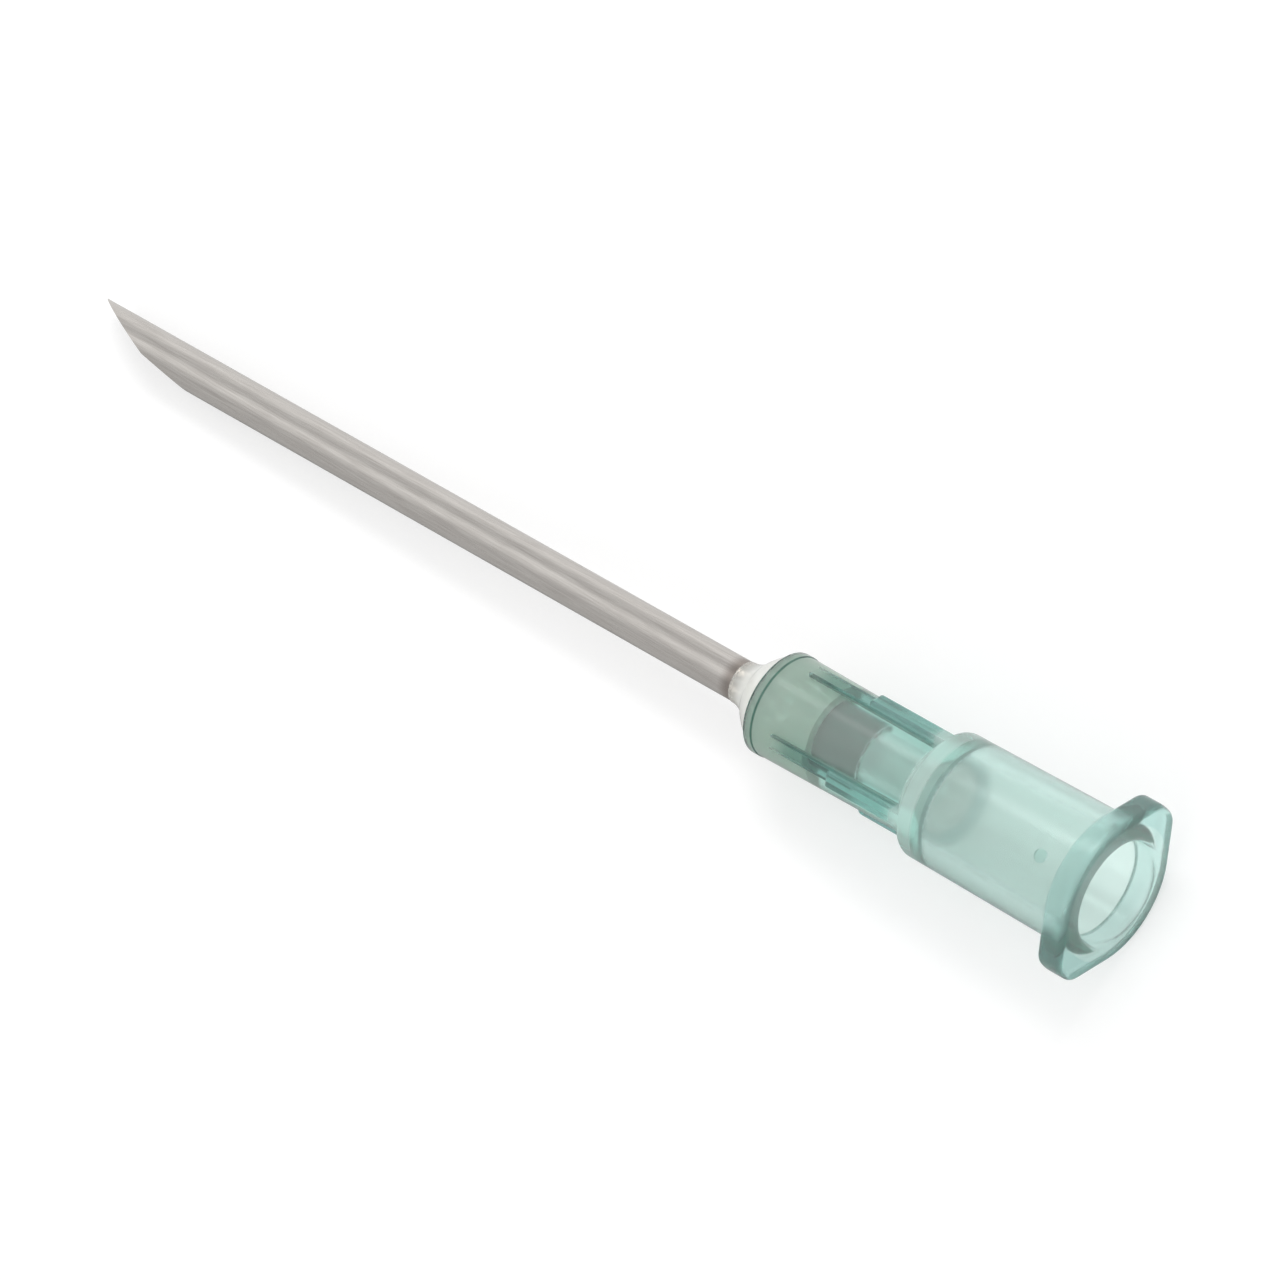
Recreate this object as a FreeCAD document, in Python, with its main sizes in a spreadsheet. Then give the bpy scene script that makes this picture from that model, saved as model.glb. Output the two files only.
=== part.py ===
"""Hypodermic needle: steel cannula with a lancet point, moulded hub with a conical socket, epoxy bead.

Millimetres. The needle axis is X, from the point to the open mouth of the hub, and x = 0 is the
hub's front rim. The lugs of the flange reach along Y. The finished needle is laid on its point and
its flange, as it rests on a table.
"""
import FreeCAD, Part
import Sketcher
import math
import os

os.makedirs("parts", exist_ok=True)
doc = FreeCAD.newDocument("hypodermic_needle")

# Driving sizes, in mm and degrees
SIZES = [
    ("cannula_diameter", 1.75, "outside of the steel tube"),
    ("cannula_wall", 0.21, "wall of the steel tube"),
    ("exposed_length", 38.0, "point of the cannula to the hub's rim"),
    ("seat_depth", 5.2, "rim to the step that the cannula butts on"),
    ("seat_clearance", 0.02, "all round, between cannula and seat"),
    ("bevel_angle", 10.2, "main bevel to the axis"),
    ("bevel_lead", 3.93, "main bevel starts this far in front of the point"),
    ("lancet_angle", 22.4, "side bevels to the axis"),
    ("lancet_turn", 6.9, "side bevels turned to each side of the main one"),
    ("point_turn", 4.7, "point of the cannula turned from the lug axis"),
    ("lip_radius", 2.2, "bead round the rim"),
    ("lip_length", 0.42, "length of that bead"),
    ("lip_bevel", 0.06, "its bevelled front edge"),
    ("nose_front_radius", 2.17, "nose just behind the bead"),
    ("nose_back_radius", 2.08, "nose at the shoulder"),
    ("nose_length", 7.9, "rim to the start of the shoulder"),
    ("shoulder_length", 0.65, "S-shaped step from nose to barrel"),
    ("barrel_front_radius", 2.7, "barrel at the shoulder"),
    ("barrel_back_radius", 2.8, "barrel at the flange"),
    ("hub_length", 17.2, "rim to the mouth face"),
    ("flange_thickness", 1.15, "mouth flange"),
    ("flange_radius", 3.17, "round part of the flange"),
    ("flange_round", 0.25, "rounded edges of the flange"),
    ("lug_radius", 3.81, "ends of the two lugs"),
    ("flank_angle", 45, "where a lug's flank leaves the round part, from the lug axis"),
    ("lug_round", 0.9, "corners of the lugs"),
    ("fin_thickness", 0.56, "each fin"),
    ("fin_start", 1.53, "rim to the low stage of a fin"),
    ("fin_low_radius", 2.38, "top of the low stage"),
    ("fin_step", 4.65, "rim to the tall stage"),
    ("fin_tall_radius", 2.68, "top of the tall stage"),
    ("fin_step_round", 0.2, "rounded front corner of the tall stage"),
    ("fin_low_round", 0.1, "rounded front corner of the low stage"),
    ("fin_run_out", 0.3, "fins run on into the barrel"),
    ("fin_turn", 45, "first fin from the lug axis"),
    ("fin_count", 4, "fins round the nose"),
    ("mouth_radius", 2.15, "socket at the mouth face"),
    ("socket_taper", 0.06, "loss of diameter per length"),
    ("socket_depth", 8.15, "mouth face to the socket floor"),
    ("socket_floor_bevel", 0.3, "bevelled corner of the socket floor"),
    ("mouth_round", 0.27, "rounded lead-in of the mouth"),
    ("funnel_radius", 1.2, "funnel at the socket floor"),
    ("funnel_length", 0.8, "funnel down to the passage"),
    ("passage_radius", 0.7, "passage behind the cannula"),
    ("well_mouth_radius", 1.85, "adhesive well at the rim"),
    ("well_floor_radius", 1.5, "adhesive well at its floor"),
    ("well_depth", 2.9, "adhesive well"),
    ("bead_margin", 0.14, "edge of the adhesive inside the rim's outer edge"),
    ("bead_shoulder_rise", 0.8, "rim to the end of the bead's hollow curve"),
    ("bead_shoulder_radius", 1.46, "radius there"),
    ("bead_rise", 1.9, "how far the adhesive creeps up the cannula"),
    ("bead_edge", 0.02, "thickness of its thin front edge"),
    ("bead_foot_curve", 1.4, "hollow curve onto the cannula"),
    ("bead_top_curve", 4.0, "slightly full curve on to the rim"),
    ("gate_diameter", 0.56, "mark left by the injection gate"),
    ("gate_depth", 0.05, "depth of that mark"),
    ("gate_place", 15.0, "rim to the gate mark"),
    ("gate_turn", 8.4, "gate mark from the top of the barrel"),
]
sheet = doc.addObject("Spreadsheet::Sheet", "sizes")
sheet.Label = "sizes"
for row, (alias, number, note) in enumerate(SIZES, start=1):
    sheet.set("A%d" % row, alias)
    sheet.set("B%d" % row, str(number))
    sheet.set("C%d" % row, note)
    sheet.setAlias("B%d" % row, alias)
doc.recompute()

# Room that a cutting profile reaches past the material
MARGIN = 0.5
# Places and radii this close are the same
SAME = 1e-4
# Rounds of the search for the resting tilt
TILT_ROUNDS = 12

ALONG_X = FreeCAD.Vector(1, 0, 0)
ALONG_Y = FreeCAD.Vector(0, 1, 0)


def number_of(expression):
    """The present value of an expression in the sheet's names."""
    result = sheet.evalExpression(expression)
    return float(getattr(result, "Value", result))


def new_body(name):
    body = doc.addObject("PartDesign::Body", name)
    body.Label = name
    return body


def new_sketch(body, name, plane, turn="0", shift="0"):
    """A sketch on a plane of the body, turned about the needle axis or shifted along its normal."""
    sketch = body.newObject("Sketcher::SketchObject", name)
    for feature in body.Origin.OriginFeatures:
        if feature.Role == plane:
            sketch.AttachmentSupport = [(feature, "")]
    sketch.MapMode = "FlatFace"
    if turn != "0":
        sketch.AttachmentOffset = FreeCAD.Placement(FreeCAD.Vector(), FreeCAD.Rotation(ALONG_X, 90))
        sketch.setExpression("AttachmentOffset.Rotation.Angle", turn)
    if shift != "0":
        sketch.setExpression("AttachmentOffset.Base.z", shift)
    return sketch


def pin_point(sketch, geometry, end, place, label):
    """Hold one end of a line or arc at two expressions."""
    axes = (("DistanceX", -2, place[0]), ("DistanceY", -1, place[1]))
    for kind, axis, expression in axes:
        if expression == "0":
            sketch.addConstraint(Sketcher.Constraint("PointOnObject", geometry, end, axis))
            continue
        index = sketch.addConstraint(
            Sketcher.Constraint(kind, -1, 1, geometry, end, number_of(expression)))
        sketch.renameConstraint(index, "%s_%s" % (label, kind[-1].lower()))
        sketch.setExpression("Constraints.%s_%s" % (label, kind[-1].lower()), expression)


def arc_between(start, end, radius, side):
    """The short arc of a radius from start to end; side is +1 where it bulges to the left."""
    chord = end - start
    middle = (start + end) * 0.5
    across = FreeCAD.Vector(-chord.y, chord.x, 0).normalize()
    drop = math.sqrt(max(radius ** 2 - (chord.Length / 2) ** 2, 0))
    centre = middle - across * (side * drop)
    top = centre + across * (side * radius)
    return Part.Arc(start, top, end)


def draw_outline(sketch, places, arcs):
    """A closed outline through the places, with arcs {index of its first place: (radius, side)}."""
    points = [FreeCAD.Vector(number_of(x), number_of(y), 0) for x, y in places]
    count = len(places)
    starts = []
    for index in range(count):
        start = points[index]
        end = points[(index + 1) % count]
        if index in arcs:
            radius, side = arcs[index]
            arc = arc_between(start, end, number_of(radius), side)
            geometry = sketch.addGeometry(arc, False)
            centre = sketch.Geometry[geometry].Center
            counter_clockwise = (start - centre).cross(end - centre).z > 0
            starts.append((geometry, 1, 2) if counter_clockwise else (geometry, 2, 1))
            label = "radius_%d" % index
            constraint = sketch.addConstraint(Sketcher.Constraint("Radius", geometry, number_of(radius)))
            sketch.renameConstraint(constraint, label)
            sketch.setExpression("Constraints." + label, radius)
        else:
            starts.append((sketch.addGeometry(Part.LineSegment(start, end), False), 1, 2))
    for index in range(count):
        geometry, first, last = starts[index]
        following, next_first, next_last = starts[(index + 1) % count]
        sketch.addConstraint(Sketcher.Constraint("Coincident", geometry, last, following, next_first))
        pin_point(sketch, geometry, first, places[index], "point_%d" % index)


def draw_circle(sketch, radius, label, x="0", y="0"):
    place = FreeCAD.Vector(number_of(x), number_of(y), 0)
    circle = Part.Circle(place, FreeCAD.Vector(0, 0, 1), number_of(radius))
    geometry = sketch.addGeometry(circle, False)
    constraint = sketch.addConstraint(Sketcher.Constraint("Radius", geometry, number_of(radius)))
    sketch.renameConstraint(constraint, label)
    sketch.setExpression("Constraints." + label, radius)
    if x == "0" and y == "0":
        sketch.addConstraint(Sketcher.Constraint("Coincident", geometry, 3, -1, 1))
    else:
        pin_point(sketch, geometry, 3, (x, y), label + "_centre")


def revolve(body, name, places, arcs, cut=False):
    """A closed profile turned about the needle axis, added to the body or cut out of it."""
    sketch = new_sketch(body, name + "_profile", "XY_Plane")
    draw_outline(sketch, places, arcs)
    kind = "PartDesign::Groove" if cut else "PartDesign::Revolution"
    feature = body.newObject(kind, name)
    feature.Profile = sketch
    feature.ReferenceAxis = (sketch, ["H_Axis"])
    feature.Angle = 360
    finish(body, feature)


def finish(body, feature):
    """Make the feature the body's tip, and see that a cut removes and an addition adds material."""
    body.Tip = feature
    doc.recompute()
    if feature.BaseFeature is None:
        return
    change = feature.Shape.Volume - feature.BaseFeature.Shape.Volume
    cuts = feature.TypeId in ("PartDesign::Pocket", "PartDesign::Groove")
    if change * (-1 if cuts else 1) <= 0:
        raise RuntimeError("%s changed the volume by %.5f mm3" % (feature.Name, change))


def round_edges(body, name, radius, chosen):
    """Round the edges of the body's tip for which chosen(edge) is true."""
    base = body.Tip
    names = ["Edge%d" % (index + 1) for index, edge in enumerate(base.Shape.Edges) if chosen(edge)]
    if not names:
        raise RuntimeError("no edge found for " + name)
    feature = body.newObject("PartDesign::Fillet", name)
    feature.Base = (base, names)
    feature.setExpression("Radius", radius)
    body.Tip = feature
    doc.recompute()


def lies_at(edge, x):
    """True for an edge that lies in the plane square to the axis at x."""
    box = edge.BoundBox
    return abs(box.XMin - x) < SAME and abs(box.XMax - x) < SAME


def start_radius(edge):
    """Distance of the edge's first point from the needle axis."""
    point = edge.valueAt(edge.FirstParameter)
    return math.hypot(point.y, point.z)


# Cannula: a drawn tube, ground to a lancet point with one main bevel and two side bevels
def build_cannula():
    body = new_body("cannula")
    sketch = new_sketch(body, "tube_section", "YZ_Plane", shift="-sizes.exposed_length")
    draw_circle(sketch, "sizes.cannula_diameter / 2", "outside")
    draw_circle(sketch, "sizes.cannula_diameter / 2 - sizes.cannula_wall", "bore")
    tube = body.newObject("PartDesign::Pad", "tube")
    tube.Profile = sketch
    tube.setExpression("Length", "sizes.exposed_length + sizes.seat_depth")
    finish(body, tube)
    grind(body, "main_bevel", "sizes.bevel_angle", "0", "sizes.bevel_lead")
    grind(body, "near_bevel", "sizes.lancet_angle", "sizes.lancet_turn", "0")
    grind(body, "far_bevel", "sizes.lancet_angle", "-sizes.lancet_turn", "0")
    return body


def grind(body, name, angle, turn, lead):
    """Grind a flat at an angle to the axis, turned about it, that meets the point or passes before it."""
    sketch = new_sketch(body, name + "_profile", "XY_Plane", turn="sizes.point_turn + (%s)" % turn)
    top = "(sizes.cannula_diameter / 2 + %s)" % MARGIN
    point = "sizes.cannula_diameter / 2 * cos(%s)" % turn
    cross = "-sizes.exposed_length - (%s) + (%s %s %s) / tan(%s)"
    front = cross % (lead, point, "-", top, angle)
    heel = cross % (lead, point, "+", top, angle)
    draw_outline(sketch, [(front, "-" + top), (heel, "-" + top), (front, top)], {})
    pocket = body.newObject("PartDesign::Pocket", name)
    pocket.Profile = sketch
    pocket.Midplane = True
    pocket.setExpression("Length", "2 * (sizes.cannula_diameter + %s)" % MARGIN)
    finish(body, pocket)


# Hub: one moulding
def build_hub():
    body = new_body("hub")
    build_outside(body)
    build_flange(body)
    build_fins(body)
    build_socket(body)
    build_gate_mark(body)
    return body


def build_outside(body):
    """Rim bead, drafted nose, S-shaped shoulder and drafted barrel."""
    shoulder_end = "sizes.nose_length + sizes.shoulder_length"
    middle = ("sizes.nose_length + sizes.shoulder_length / 2",
              "(sizes.nose_back_radius + sizes.barrel_front_radius) / 2")
    rise = "(sizes.barrel_front_radius - sizes.nose_back_radius)"
    curve = "(%s ^ 2 + sizes.shoulder_length ^ 2) / (4 * %s)" % (rise, rise)
    lip_step = "sizes.lip_length + sizes.lip_radius - sizes.nose_front_radius"
    places = [
        ("0", "0"),
        ("0", "sizes.lip_radius - sizes.lip_bevel"),
        ("sizes.lip_bevel", "sizes.lip_radius"),
        ("sizes.lip_length", "sizes.lip_radius"),
        (lip_step, "sizes.nose_front_radius"),
        ("sizes.nose_length", "sizes.nose_back_radius"),
        middle,
        (shoulder_end, "sizes.barrel_front_radius"),
        ("sizes.hub_length", "sizes.barrel_back_radius"),
        ("sizes.hub_length", "0"),
    ]
    revolve(body, "outside", places, {5: (curve, -1), 6: (curve, 1)})


def build_flange(body):
    """Round flange with two lugs, whose flanks run off the round part at a tangent."""
    front = "sizes.hub_length - sizes.flange_thickness"
    sketch = new_sketch(body, "flange_outline", "YZ_Plane", shift=front)
    flank_y = "sizes.flange_radius * cos(sizes.flank_angle)"
    flank_z = "sizes.flange_radius * sin(sizes.flank_angle)"
    end_angle = "(sizes.flank_angle * 1 deg - acos(sizes.flange_radius / sizes.lug_radius))"
    end_y = "sizes.lug_radius * cos(%s)" % end_angle
    end_z = "sizes.lug_radius * sin(%s)" % end_angle
    places = [
        (end_y, "-" + end_z), (end_y, end_z), (flank_y, flank_z), ("-" + flank_y, flank_z),
        ("-" + end_y, end_z), ("-" + end_y, "-" + end_z), ("-" + flank_y, "-" + flank_z),
        (flank_y, "-" + flank_z),
    ]
    round_part = ("sizes.flange_radius", -1)
    lug_end = ("sizes.lug_radius", -1)
    draw_outline(sketch, places, {0: lug_end, 2: round_part, 4: lug_end, 6: round_part})
    flange = body.newObject("PartDesign::Pad", "flange")
    flange.Profile = sketch
    flange.setExpression("Length", "sizes.flange_thickness")
    finish(body, flange)
    faces = [number_of(front), number_of("sizes.hub_length")]
    lug_radius = number_of("sizes.lug_radius")
    flange_radius = number_of("sizes.flange_radius")

    def is_lug_corner(edge):
        return not any(lies_at(edge, face) for face in faces) and abs(start_radius(edge) - lug_radius) < SAME

    def is_outer_edge(edge):
        return any(lies_at(edge, face) for face in faces) and start_radius(edge) > flange_radius - SAME

    round_edges(body, "lug_corners", "sizes.lug_round", is_lug_corner)
    round_edges(body, "flange_edges", "sizes.flange_round", is_outer_edge)


def build_fins(body):
    """Two-stage fins between the rim and the shoulder."""
    sketch = new_sketch(body, "fin_profile", "XY_Plane", turn="sizes.fin_turn")
    root = "sizes.cannula_diameter / 2"
    fin_end = "sizes.nose_length + sizes.shoulder_length + sizes.fin_run_out"
    low_corner = "sizes.fin_low_radius - sizes.fin_low_round"
    tall_corner = "sizes.fin_tall_radius - sizes.fin_step_round"
    places = [
        ("sizes.fin_start", root),
        ("sizes.fin_start", low_corner),
        ("sizes.fin_start + sizes.fin_low_round", "sizes.fin_low_radius"),
        ("sizes.fin_step", "sizes.fin_low_radius"),
        ("sizes.fin_step", tall_corner),
        ("sizes.fin_step + sizes.fin_step_round", "sizes.fin_tall_radius"),
        (fin_end, "sizes.fin_tall_radius"),
        (fin_end, root),
    ]
    draw_outline(sketch, places, {1: ("sizes.fin_low_round", 1), 4: ("sizes.fin_step_round", 1)})
    fin = body.newObject("PartDesign::Pad", "fin")
    fin.Profile = sketch
    fin.Midplane = True
    fin.setExpression("Length", "sizes.fin_thickness")
    finish(body, fin)
    pattern = body.newObject("PartDesign::PolarPattern", "fins")
    pattern.Originals = [fin]
    pattern.Axis = (sketch, ["H_Axis"])
    pattern.Angle = 360
    pattern.setExpression("Occurrences", "sizes.fin_count")
    body.Tip = pattern
    doc.recompute()


def build_socket(body):
    """Conical socket with its funnel, the passage, the cannula's seat and the adhesive well."""
    floor = "sizes.hub_length - sizes.socket_depth"
    wall_end = floor + " + sizes.socket_floor_bevel"
    wall_length = "(sizes.socket_depth - sizes.socket_floor_bevel)"
    wall_radius = "(sizes.mouth_radius - sizes.socket_taper / 2 * %s)" % wall_length
    places = [
        (floor, "0"),
        (floor, wall_radius + " - sizes.socket_floor_bevel"),
        (wall_end, wall_radius),
        ("sizes.hub_length", "sizes.mouth_radius"),
        ("sizes.hub_length", "0"),
    ]
    revolve(body, "socket", places, {}, cut=True)
    hub_length = number_of("sizes.hub_length")
    mouth_radius = number_of("sizes.mouth_radius")

    def is_mouth_edge(edge):
        return lies_at(edge, hub_length) and abs(start_radius(edge) - mouth_radius) < SAME

    round_edges(body, "mouth_lead_in", "sizes.mouth_round", is_mouth_edge)
    funnel_end = "sizes.hub_length - sizes.socket_depth - sizes.funnel_length"
    seat_radius = "sizes.cannula_diameter / 2 + sizes.seat_clearance"
    places = [
        ("0", "0"),
        ("0", "sizes.well_mouth_radius"),
        ("sizes.well_depth", "sizes.well_floor_radius"),
        ("sizes.well_depth", seat_radius),
        ("sizes.seat_depth", seat_radius),
        ("sizes.seat_depth", "sizes.passage_radius"),
        (funnel_end, "sizes.passage_radius"),
        (floor, "sizes.funnel_radius"),
        (floor, "0"),
    ]
    revolve(body, "passage", places, {}, cut=True)


def build_gate_mark(body):
    """Shallow round mark on the barrel, left by the injection gate."""
    draft = "(sizes.barrel_back_radius - sizes.barrel_front_radius)"
    run = "(sizes.hub_length - sizes.nose_length - sizes.shoulder_length)"
    along = "(sizes.gate_place - sizes.nose_length - sizes.shoulder_length)"
    surface = "(sizes.barrel_front_radius + %s * %s / %s)" % (draft, along, run)
    sketch = new_sketch(body, "gate_outline", "XY_Plane")
    sketch.AttachmentOffset = FreeCAD.Placement(FreeCAD.Vector(), FreeCAD.Rotation(ALONG_X, 90))
    level = "(%s - sizes.gate_depth)" % surface
    sketch.setExpression("AttachmentOffset.Rotation.Angle", "sizes.gate_turn")
    sketch.setExpression("AttachmentOffset.Base.y", "-%s * sin(sizes.gate_turn)" % level)
    sketch.setExpression("AttachmentOffset.Base.z", "%s * cos(sizes.gate_turn)" % level)
    draw_circle(sketch, "sizes.gate_diameter / 2", "mark", x="sizes.gate_place")
    mark = body.newObject("PartDesign::Pocket", "gate_mark")
    mark.Profile = sketch
    mark.Reversed = True
    mark.setExpression("Length", "2 * sizes.gate_depth")
    finish(body, mark)


# Adhesive: fills the well, covers the rim's face and creeps up the cannula in a hollow curve
def build_adhesive():
    body = new_body("adhesive")
    bore = "sizes.cannula_diameter / 2"
    places = [
        ("sizes.well_depth", bore),
        ("-sizes.bead_rise", bore),
        ("-sizes.bead_rise", bore + " + sizes.bead_edge"),
        ("-sizes.bead_shoulder_rise", "sizes.bead_shoulder_radius"),
        ("0", "sizes.lip_radius - sizes.bead_margin"),
        ("0", "sizes.well_mouth_radius"),
        ("sizes.well_depth", "sizes.well_floor_radius"),
    ]
    arcs = {2: ("sizes.bead_foot_curve", -1), 3: ("sizes.bead_top_curve", 1)}
    revolve(body, "bead", places, arcs)
    return body


def resting_tilt(bodies):
    """Tilt, in degrees, at which the point of the cannula and the flange stand on one level."""
    cannula, hub = bodies
    tilt = 0.0
    reach = number_of("sizes.exposed_length + sizes.hub_length")
    for attempt in range(TILT_ROUNDS):
        turn = FreeCAD.Placement(FreeCAD.Vector(), FreeCAD.Rotation(ALONG_Y, -tilt))
        lows = [lowest(body, turn) for body in (cannula, hub)]
        tilt += math.degrees((lows[0] - lows[1]) / reach)
    return tilt


def lowest(body, placement):
    shape = body.Tip.Shape.copy()
    shape.Placement = placement.multiply(shape.Placement)
    return shape.optimalBoundingBox(False).ZMin


def lay_down(bodies):
    """Lay the pieces on the table, with the middle of their box over the origin."""
    turn = FreeCAD.Placement(FreeCAD.Vector(), FreeCAD.Rotation(ALONG_Y, -resting_tilt(bodies[:2])))
    box = FreeCAD.BoundBox()
    for body in bodies:
        shape = body.Tip.Shape.copy()
        shape.Placement = turn.multiply(shape.Placement)
        box.add(shape.optimalBoundingBox(False))
    shift = FreeCAD.Vector(-box.Center.x, -box.Center.y, -box.ZMin)
    for body in bodies:
        body.Placement = FreeCAD.Placement(shift, turn.Rotation)
    doc.recompute()


bodies = [build_cannula(), build_hub(), build_adhesive()]
lay_down(bodies)

# Nothing is written unless every object is sound
for item in doc.Objects:
    bad = [state for state in item.State if state in ("Invalid", "Error")]
    if bad:
        raise RuntimeError("%s is %s" % (item.Name, bad))
for body in bodies:
    if body.Shape.isNull() or not body.Shape.isValid() or len(body.Shape.Solids) != 1:
        raise RuntimeError("%s isn't one sound solid" % body.Label)
for body in bodies:
    body.Shape.exportStep("parts/%s.step" % body.Label)
    box = body.Shape.BoundBox
    print("%s: %.3f mm3, X %.2f to %.2f, Y %.2f to %.2f, Z %.2f to %.2f" % (
        body.Label, body.Shape.Volume, box.XMin, box.XMax, box.YMin, box.YMax, box.ZMin, box.ZMax))
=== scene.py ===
import math

import bpy
from mathutils import Matrix, Vector

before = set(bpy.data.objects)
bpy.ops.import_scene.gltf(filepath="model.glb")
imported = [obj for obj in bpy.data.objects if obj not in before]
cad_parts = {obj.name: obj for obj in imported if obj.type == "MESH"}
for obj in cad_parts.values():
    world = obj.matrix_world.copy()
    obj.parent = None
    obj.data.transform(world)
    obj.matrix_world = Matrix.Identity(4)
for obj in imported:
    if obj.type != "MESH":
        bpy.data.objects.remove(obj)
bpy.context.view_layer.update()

MM = 0.001
# Placement of the needle in the row frame: place of the hub's front rim and lean of the axis
RIM = Vector((10.326765, 0.0, 2.446675)) * MM
LEAN = math.radians(2.53334)
# Gate mark on the barrel, in the row frame, and its radius
GATE = RIM + Matrix.Rotation(-LEAN, 3, "Y") @ Vector((15.0, -0.406, 2.748)) * MM
GATE_RADIUS = 0.28 * MM

# Rings of the hub, in mm: first and last place along it from its rim, near and far from its axis
FINS = (2.1, 7.9, 2.23, 2.8)
FLANGE = (16.0, 17.3, 2.86, 4.0)
FRONT_LIP_SHADE = (-0.03, 0.1, 2.05, 2.3)
BACK_LIP_SHADE = (0.39, 0.48, 2.12, 2.3)
WELL = (0.02, 2.91, 0.0, 1.88)
SEAT = (2.92, 5.16, 0.0, 0.95)
SEAT_STEP = (5.19, 5.3, 0.6, 0.95)
PASSAGE = (5.3, 8.2, 0.5, 0.8)
FUNNEL = (8.2, 9.15, 0.5, 1.21)
COLLAR = (7.9, 9.1, 2.05, 2.9)
FLOOR_DISC = (9.0, 9.4, 1.22, 1.5)
FLOOR_RING = (9.0, 9.4, 1.52, 1.92)
MOUTH = (16.2, 17.3, 1.93, 2.4)

# Stretch of the cannula beside the hub, from its rim, where the tube is coloured darker
DARKER_STRETCH = (-2.3 * MM, 6 * MM)
# Where the adhesive's film on the cannula turns from clear to cloudy, and how clear it is there
FILM_START, FILM_END = -1.9 * MM, -0.9 * MM
FILM_CLEAR, BEAD_CLEAR = 0.75, 0.15

# Share of the light that the hub's plain plastic lets through
HUB_CLEAR = 0.84
# Light that the ground adds for the eye, behind the plastic, and mirrored before and beyond the needle
EYE_LIFT, THROUGH_LIFT, NEAR_LIFT, BEYOND_LIFT = 0.54, 0.75, 0.02, 0.3

# Brightness of the studio round the needle's axis: degrees from overhead towards +Y, level
STUDIO = [(-180, 0.5), (-95, 0.56), (-66, 0.6), (-52, 0.55), (-32, 0.72), (-10, 0.94), (4, 0.95),
          (22, 0.68), (36, 0.62), (58, 0.74), (80, 1.0), (100, 0.95), (125, 0.76), (180, 0.5)]
ROOM_LEVEL = 0.74

# Camera: lens and sensor in mm, place in metres, and its axes
LENS, SENSOR = 225.0, 36.0
CAMERA_PLACE = (0.159125, -0.022589, 0.2772)
CAMERA_RIGHT = (0.755511, 0.529733, -0.38547)
CAMERA_UP = (-0.43303, 0.845311, 0.312945)
CAMERA_BACK = (0.491619, -0.069513, 0.868032)


# ---------------------------------------------------------------- node helpers
def new_material(name):
    material = bpy.data.materials.new(name)
    material.use_nodes = True
    material.node_tree.nodes.clear()
    return material, material.node_tree


def add(tree, kind, **values):
    node = tree.nodes.new(kind)
    for key, value in values.items():
        setattr(node, key, value)
    return node


def put(tree, socket, value):
    """Link a socket, or set it to a number or colour."""
    if isinstance(value, bpy.types.NodeSocket):
        tree.links.new(value, socket)
    else:
        socket.default_value = value


def feed(tree, node, **inputs):
    """Set or link a node's inputs by name, with _ for a space."""
    for key, value in inputs.items():
        put(tree, node.inputs[key.replace("_", " ")], value)
    return node


def maths(tree, operation, *values):
    """Result of a math node whose inputs are the values, in order."""
    node = add(tree, "ShaderNodeMath", operation=operation)
    for socket, value in zip(node.inputs, values):
        put(tree, socket, value)
    return node.outputs["Value"]


def times(tree, first, second):
    return maths(tree, "MULTIPLY", first, second)


def ramp(tree, factor, stops):
    node = add(tree, "ShaderNodeValToRGB")
    elements = node.color_ramp.elements
    while len(elements) < len(stops):
        elements.new(0.5)
    for element, (place, colour) in zip(elements, stops):
        element.position = place
        element.color = (*colour, 1) if isinstance(colour, tuple) else (colour, colour, colour, 1)
    tree.links.new(factor, node.inputs["Fac"])
    return node.outputs["Color"]


def mottled(tree, factor, first, second):
    """Two colours or levels, mixed by noise between its usual ends."""
    return ramp(tree, factor, [(0.3, first), (0.7, second)])


def noise(tree, factors, detail, roughness):
    """Noise in object coordinates that are stretched by the factors."""
    place = add(tree, "ShaderNodeMapping")
    feed(tree, place, Vector=add(tree, "ShaderNodeTexCoord").outputs["Object"], Scale=factors)
    node = add(tree, "ShaderNodeTexNoise")
    feed(tree, node, Vector=place.outputs["Vector"], Scale=1.0, Detail=detail, Roughness=roughness)
    return node.outputs["Fac"]


def split(tree, vector):
    parts = add(tree, "ShaderNodeSeparateXYZ")
    feed(tree, parts, Vector=vector)
    return parts.outputs


def needle_place(tree):
    """Place along the needle from the hub's rim, and distance from its axis, in metres."""
    node = add(tree, "ShaderNodeMapping", vector_type="TEXTURE")
    feed(tree, node, Vector=add(tree, "ShaderNodeTexCoord").outputs["Object"],
         Location=RIM, Rotation=(0, -LEAN, 0))
    along, across, up = split(tree, node.outputs["Vector"])
    square = times(tree, across, across)
    return along, maths(tree, "SQRT", maths(tree, "MULTIPLY_ADD", up, up, square))


def step(tree, value, start, end, low=0.0, high=1.0):
    """Soft step from low to high while the value goes from start to end."""
    node = add(tree, "ShaderNodeMapRange", interpolation_type="SMOOTHSTEP")
    feed(tree, node, Value=value)
    for name, number in (("From Min", start), ("From Max", end), ("To Min", low), ("To Max", high)):
        node.inputs[name].default_value = number
    return node.outputs["Result"]


def between(tree, value, low, high, soft):
    """1 where the value lies between low and high, with soft ends."""
    return times(tree, step(tree, value, low - soft, low + soft), step(tree, value, high + soft, high - soft))


def mixed(tree, kind, value, other, share):
    """Value that passes to another one where the share is 1."""
    first, result = {"FLOAT": (2, 0), "RGBA": (6, 2)}[kind]  # the node's sockets for that kind
    node = add(tree, "ShaderNodeMix", data_type=kind)
    tree.links.new(share, node.inputs[0])
    put(tree, node.inputs[first], value)
    put(tree, node.inputs[first + 1], other)
    return node.outputs[result]


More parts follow.
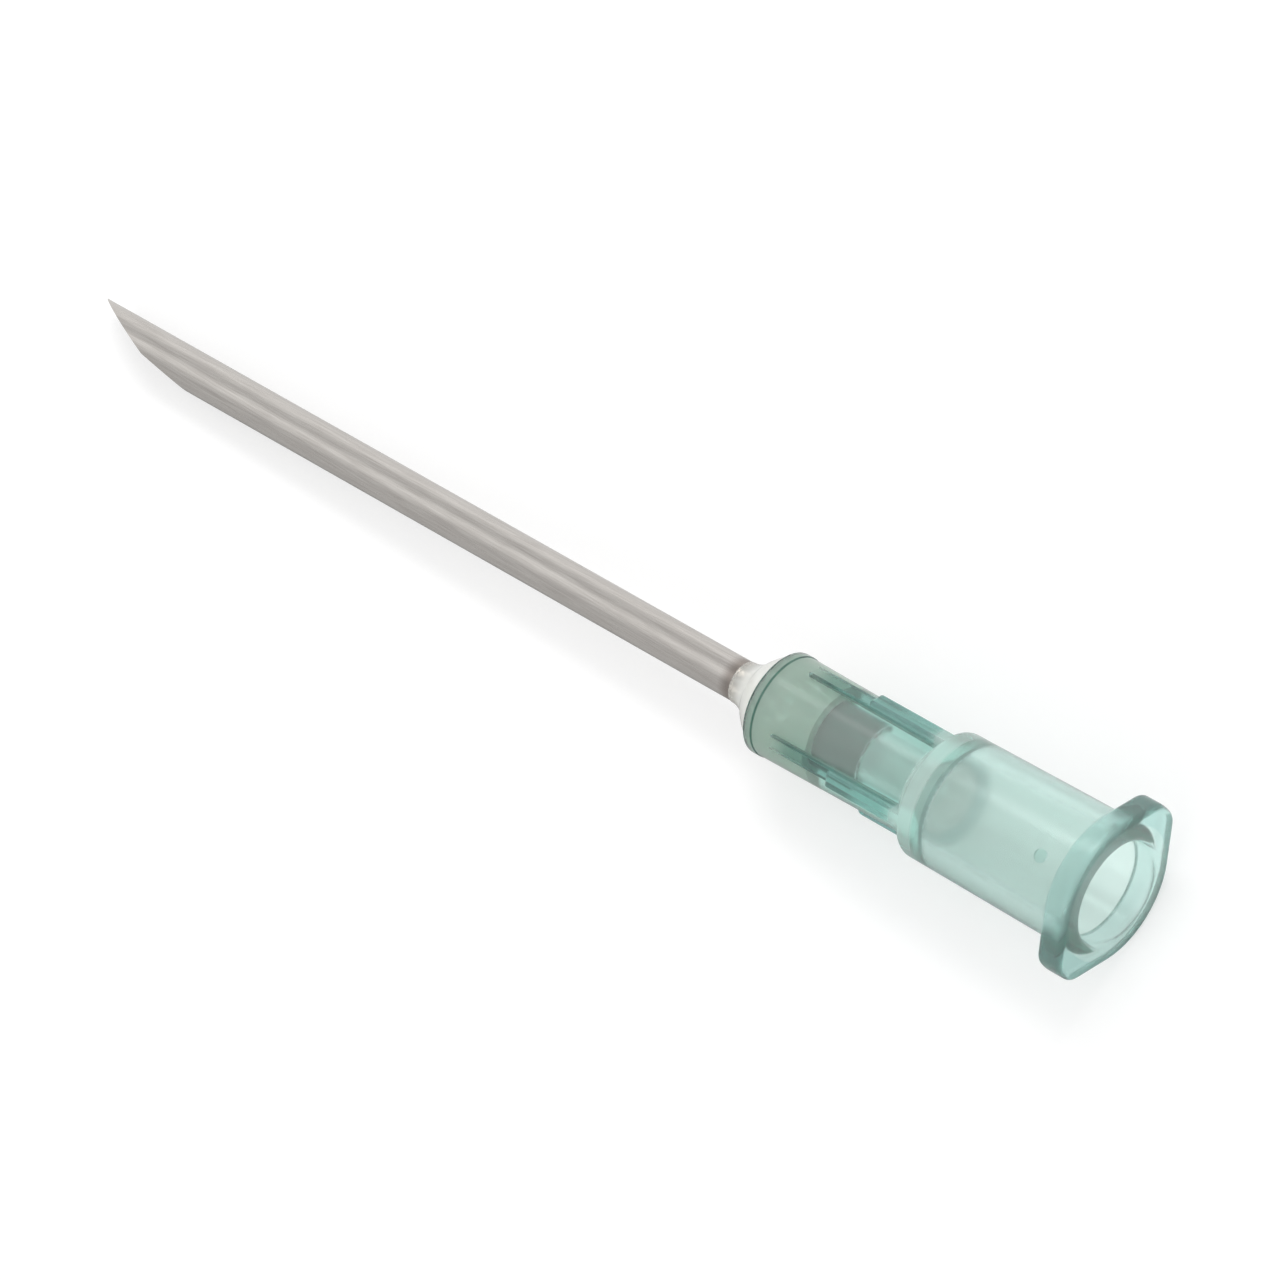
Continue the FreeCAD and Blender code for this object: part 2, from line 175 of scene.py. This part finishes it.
def shaded(tree, colour, other, share):
    return mixed(tree, "RGBA", colour, (*other, 1) if isinstance(other, tuple) else other, share)


def passing(tree, value, other, share):
    return mixed(tree, "FLOAT", value, other, share)


def show(tree, shader, volume=None):
    """Link a shader to the material's output, with its volume if it has one."""
    output = add(tree, "ShaderNodeOutputMaterial")
    tree.links.new(shader.outputs["BSDF"], output.inputs["Surface"])
    if volume:
        tree.links.new(volume.outputs["Volume"], output.inputs["Volume"])


def srgb(red, green, blue):
    """Linear colour from 0 to 255 display values."""
    def linear(value):
        value /= 255
        return value / 12.92 if value <= 0.04045 else ((value + 0.055) / 1.055) ** 2.4
    return linear(red), linear(green), linear(blue)


# Adhesive in the well, where it is bonded to the hub
BONDED = srgb(222, 248, 230), srgb(234, 251, 232)


# ---------------------------------------------------------------- materials
def steel_material():
    """Drawn stainless tube: fine lines along it, slight unevenness, satin."""
    material, tree = new_material("needle_steel")
    lines = noise(tree, (220, 14000, 14000), 5.0, 0.6)
    cloud = noise(tree, (400, 900, 900), 3.0, 0.55)
    colour = mottled(tree, lines, srgb(196, 191, 186), srgb(218, 214, 209))
    along, away = needle_place(tree)
    # Darker colour over the stretch beside the hub's rim
    colour = shaded(tree, colour, srgb(162, 154, 148), between(tree, along, *DARKER_STRETCH, 0.3 * MM))
    bump = add(tree, "ShaderNodeBump")
    feed(tree, bump, Height=lines, Strength=0.07, Distance=0.00002)
    shader = add(tree, "ShaderNodeBsdfPrincipled")
    feed(tree, shader, Base_Color=colour, Roughness=mottled(tree, cloud, 0.2, 0.3), Metallic=1.0,
         Normal=bump.outputs["Normal"])
    show(tree, shader)
    return material


def hub_material():
    """Translucent moulded plastic: milky inside, tinted through its thickness, with a gloss skin; painted
    shade on fins, flange, lip and seat, painted light in the socket.
    """
    material, tree = new_material("hub_plastic")
    cloud = noise(tree, (300, 500, 500), 3.0, 0.6)
    colour = mottled(tree, cloud, srgb(232, 240, 237), srgb(240, 246, 244))
    along, away = needle_place(tree)

    def zone(ring, soft=0.02, part=1.0):
        """Share of a ring of the hub, with soft ends along it, in mm."""
        first, last, near, far = ring
        share = times(tree, between(tree, along, first * MM, last * MM, soft * MM),
                      between(tree, away, near * MM, far * MM, 0.02 * MM))
        return share if part == 1.0 else times(tree, share, part)

    # Painted shade on the clear plastic: fins and flange coloured darker, and two dark lines round the rim's
    # rounded lip
    # Painted shade: fins and flange darker than the rest of the same plastic
    for share, tint in ((zone(FINS, 0.5), srgb(160, 192, 190)),
                        (zone(FLANGE, 0.05), srgb(202, 224, 222)),
                        # Painted shade: dark lines at the edges of the rim's rounded lip
                        (zone(FRONT_LIP_SHADE), srgb(92, 138, 130)),
                        (zone(BACK_LIP_SHADE), srgb(92, 138, 130))):
        colour = shaded(tree, colour, tint, share)
    gate = add(tree, "ShaderNodeVectorMath", operation="DISTANCE")
    tree.links.new(add(tree, "ShaderNodeTexCoord").outputs["Object"], gate.inputs[0])
    gate.inputs[1].default_value = GATE
    colour = shaded(tree, colour, srgb(204, 228, 222),
                    between(tree, gate.outputs["Value"], -1 * MM, GATE_RADIUS, 0.03 * MM))
    # Surfaces that look cloudy, show what is bonded to them, or carry painted light and shade in the socket:
    # share, colour, roughness
    clear, rough = HUB_CLEAR, mottled(tree, cloud, 0.17, 0.24)
    seat = zone(SEAT)
    # The steel bonded behind the seat is real; its dark look through the plastic is painted shade on the
    # hub's seat wall
    steel_shade = mottled(tree, cloud, srgb(84, 110, 100), srgb(98, 122, 112))
    milk = mottled(tree, cloud, srgb(222, 240, 234), srgb(232, 246, 241))
    painted_light_milk = mottled(tree, cloud, srgb(248, 254, 250), srgb(252, 255, 253))
    for share, tint, dull in ((seat, steel_shade, 0.5),
                              (zone(WELL, 0.01), mottled(tree, cloud, *BONDED), 0.4),
                              (zone(COLLAR, 0.1, 0.22), milk, 0.35),
                              # Painted light: funnel and socket floor lit up as a pale disc, with a painted
                              # darker ring round it
                              (zone(FUNNEL, 0.05), painted_light_milk, 0.35),
                              (zone(FLOOR_DISC), painted_light_milk, 0.35),
                              (zone(FLOOR_RING, 0.02, 0.6), srgb(136, 198, 198), 0.35),
                              (zone(PASSAGE, 0.05, 0.6), milk, 0.35),
                              (zone(SEAT_STEP), milk, 0.35),
                              # Painted light: a little light painted inside the mouth
                              (zone(MOUTH, 0.3, 0.1), painted_light_milk, 0.35)):
        colour = shaded(tree, colour, tint, share)
        clear = passing(tree, clear, 0.0, share)
        rough = passing(tree, rough, dull, share)
    bump = add(tree, "ShaderNodeBump")
    feed(tree, bump, Height=cloud, Strength=0.02, Distance=0.00003)
    shader = add(tree, "ShaderNodeBsdfPrincipled")
    feed(tree, shader, Base_Color=colour, Roughness=rough, Metallic=times(tree, seat, 0.6), IOR=1.49,
         Transmission_Weight=clear, Coat_Weight=0.3, Coat_Roughness=0.12, Normal=bump.outputs["Normal"])
    absorb = add(tree, "ShaderNodeVolumeAbsorption")
    feed(tree, absorb, Color=(*srgb(128, 216, 204), 1), Density=300.0)
    show(tree, shader, absorb)
    return material


def adhesive_material():
    """Cloudy cured adhesive, clear where it thins out on the cannula."""
    material, tree = new_material("bonded_adhesive")
    cloud = noise(tree, (900, 900, 900), 3.0, 0.6)
    colour = mottled(tree, cloud, srgb(243, 244, 238), srgb(250, 251, 247))
    along, away = needle_place(tree)
    film = step(tree, along, FILM_START, FILM_END, FILM_CLEAR, BEAD_CLEAR)
    inside = between(tree, along, 0.02 * MM, 4 * MM, 0.01 * MM)
    shader = add(tree, "ShaderNodeBsdfPrincipled")
    feed(tree, shader, Base_Color=shaded(tree, colour, mottled(tree, cloud, *BONDED), inside),
         Roughness=passing(tree, 0.15, 0.4, inside), IOR=1.5,
         Transmission_Weight=passing(tree, film, 0.0, inside))
    show(tree, shader)
    return material


def floor_material():
    """Pale ground that stays near white for the eye and keeps the object's shadow."""
    material, tree = new_material("pale_ground")
    ray = add(tree, "ShaderNodeLightPath").outputs
    colour = mottled(tree, noise(tree, (40, 40, 40), 2.0, 0.5), 0.49, 0.51)
    # The ground beyond the needle mirrors a little lighter than the ground before it
    side = split(tree, add(tree, "ShaderNodeTexCoord").outputs["Object"])["Y"]
    mirrored = maths(tree, "MULTIPLY_ADD", between(tree, side, 0.0, 1.0, 0.5 * MM), BEYOND_LIFT, NEAR_LIFT)
    lift = times(tree, ray["Is Transmission Ray"], THROUGH_LIFT)
    lift = maths(tree, "MULTIPLY_ADD", ray["Is Glossy Ray"], mirrored, lift)
    lift = maths(tree, "MULTIPLY_ADD", ray["Is Camera Ray"], EYE_LIFT, lift)
    shader = add(tree, "ShaderNodeBsdfPrincipled")
    feed(tree, shader, Base_Color=colour, Roughness=0.9, Specular_IOR_Level=0.0,
         Emission_Color=(1, 1, 1, 1), Emission_Strength=lift)
    show(tree, shader)
    return material


# ---------------------------------------------------------------- object
MATERIALS = {"cannula": steel_material(), "hub": hub_material(), "adhesive": adhesive_material()}
for name, material in MATERIALS.items():
    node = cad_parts[name]
    node.data.materials.clear()
    node.data.materials.append(material)


# ---------------------------------------------------------------- stage
def build_stage():
    half = 2.0
    mesh = bpy.data.meshes.new("ground")
    corners = [(-half, -half, 0), (half, -half, 0), (half, half, 0), (-half, half, 0)]
    mesh.from_pydata(corners, [], [(0, 1, 2, 3)])
    ground = bpy.data.objects.new("ground", mesh)
    bpy.context.scene.collection.objects.link(ground)
    mesh.materials.append(floor_material())


def area_lamp(name, place, width, height, watts):
    """Rectangular lamp that points at the origin and isn't mirrored."""
    lamp = bpy.data.lights.new(name, "AREA")
    lamp.shape = "RECTANGLE"
    lamp.size = width
    lamp.size_y = height
    lamp.energy = watts
    holder = bpy.data.objects.new(name, lamp)
    place = Vector(place)
    aim = (-place).to_track_quat("-Z", "Y")
    holder.matrix_world = Matrix.Translation(place) @ aim.to_matrix().to_4x4()
    holder.visible_glossy = False
    bpy.context.scene.collection.objects.link(holder)


def background(tree, colour, strength):
    node = add(tree, "ShaderNodeBackground")
    feed(tree, node, Color=colour, Strength=strength)
    return node.outputs["Background"]


def either(tree, share, first, second):
    """The second background where the share is 1, or else the first."""
    node = add(tree, "ShaderNodeMixShader")
    tree.links.new(share, node.inputs["Fac"])
    tree.links.new(first, node.inputs[1])
    tree.links.new(second, node.inputs[2])
    return node.outputs["Shader"]


def build_lights():
    """Plain soft studio: an even room, whose mirror image has bands along the needle, and two lamps."""
    world = bpy.data.worlds.new("studio")
    bpy.context.scene.world = world
    world.use_nodes = True
    tree = world.node_tree
    tree.nodes.clear()
    ray = add(tree, "ShaderNodeLightPath").outputs
    way = split(tree, add(tree, "ShaderNodeTexCoord").outputs["Generated"])
    share = add(tree, "ShaderNodeMapRange")
    feed(tree, share, Value=maths(tree, "ARCTAN2", way["Y"], way["Z"]))
    share.inputs["From Min"].default_value = -math.pi
    share.inputs["From Max"].default_value = math.pi
    bands = ramp(tree, share.outputs["Result"], [(degrees / 360 + 0.5, level) for degrees, level in STUDIO])
    white = (1, 1, 1, 1)
    room = background(tree, white, ROOM_LEVEL)
    lit = either(tree, ray["Is Glossy Ray"], room, background(tree, bands, 1.0))
    seen = maths(tree, "MAXIMUM", ray["Is Camera Ray"], ray["Is Transmission Ray"])
    output = add(tree, "ShaderNodeOutputWorld")
    tree.links.new(either(tree, seen, lit, background(tree, white, 1.0)), output.inputs["Surface"])
    area_lamp("key", (-0.05, 0.22, 0.3), 0.3, 0.1, 0.5)
    area_lamp("fill", (0.0, -0.3, 0.2), 0.3, 0.12, 0.3)


def build_camera():
    data = bpy.data.cameras.new("camera")
    data.lens = LENS
    data.sensor_width = SENSOR
    data.sensor_fit = "AUTO"
    data.clip_start = 0.01
    data.clip_end = 10.0
    holder = bpy.data.objects.new("camera", data)
    turn = Matrix((CAMERA_RIGHT, CAMERA_UP, CAMERA_BACK)).transposed().to_4x4()
    holder.matrix_world = Matrix.Translation(CAMERA_PLACE) @ turn
    bpy.context.scene.collection.objects.link(holder)
    bpy.context.scene.camera = holder


build_stage()
build_lights()
build_camera()
bpy.context.scene.view_settings.view_transform = "Standard"
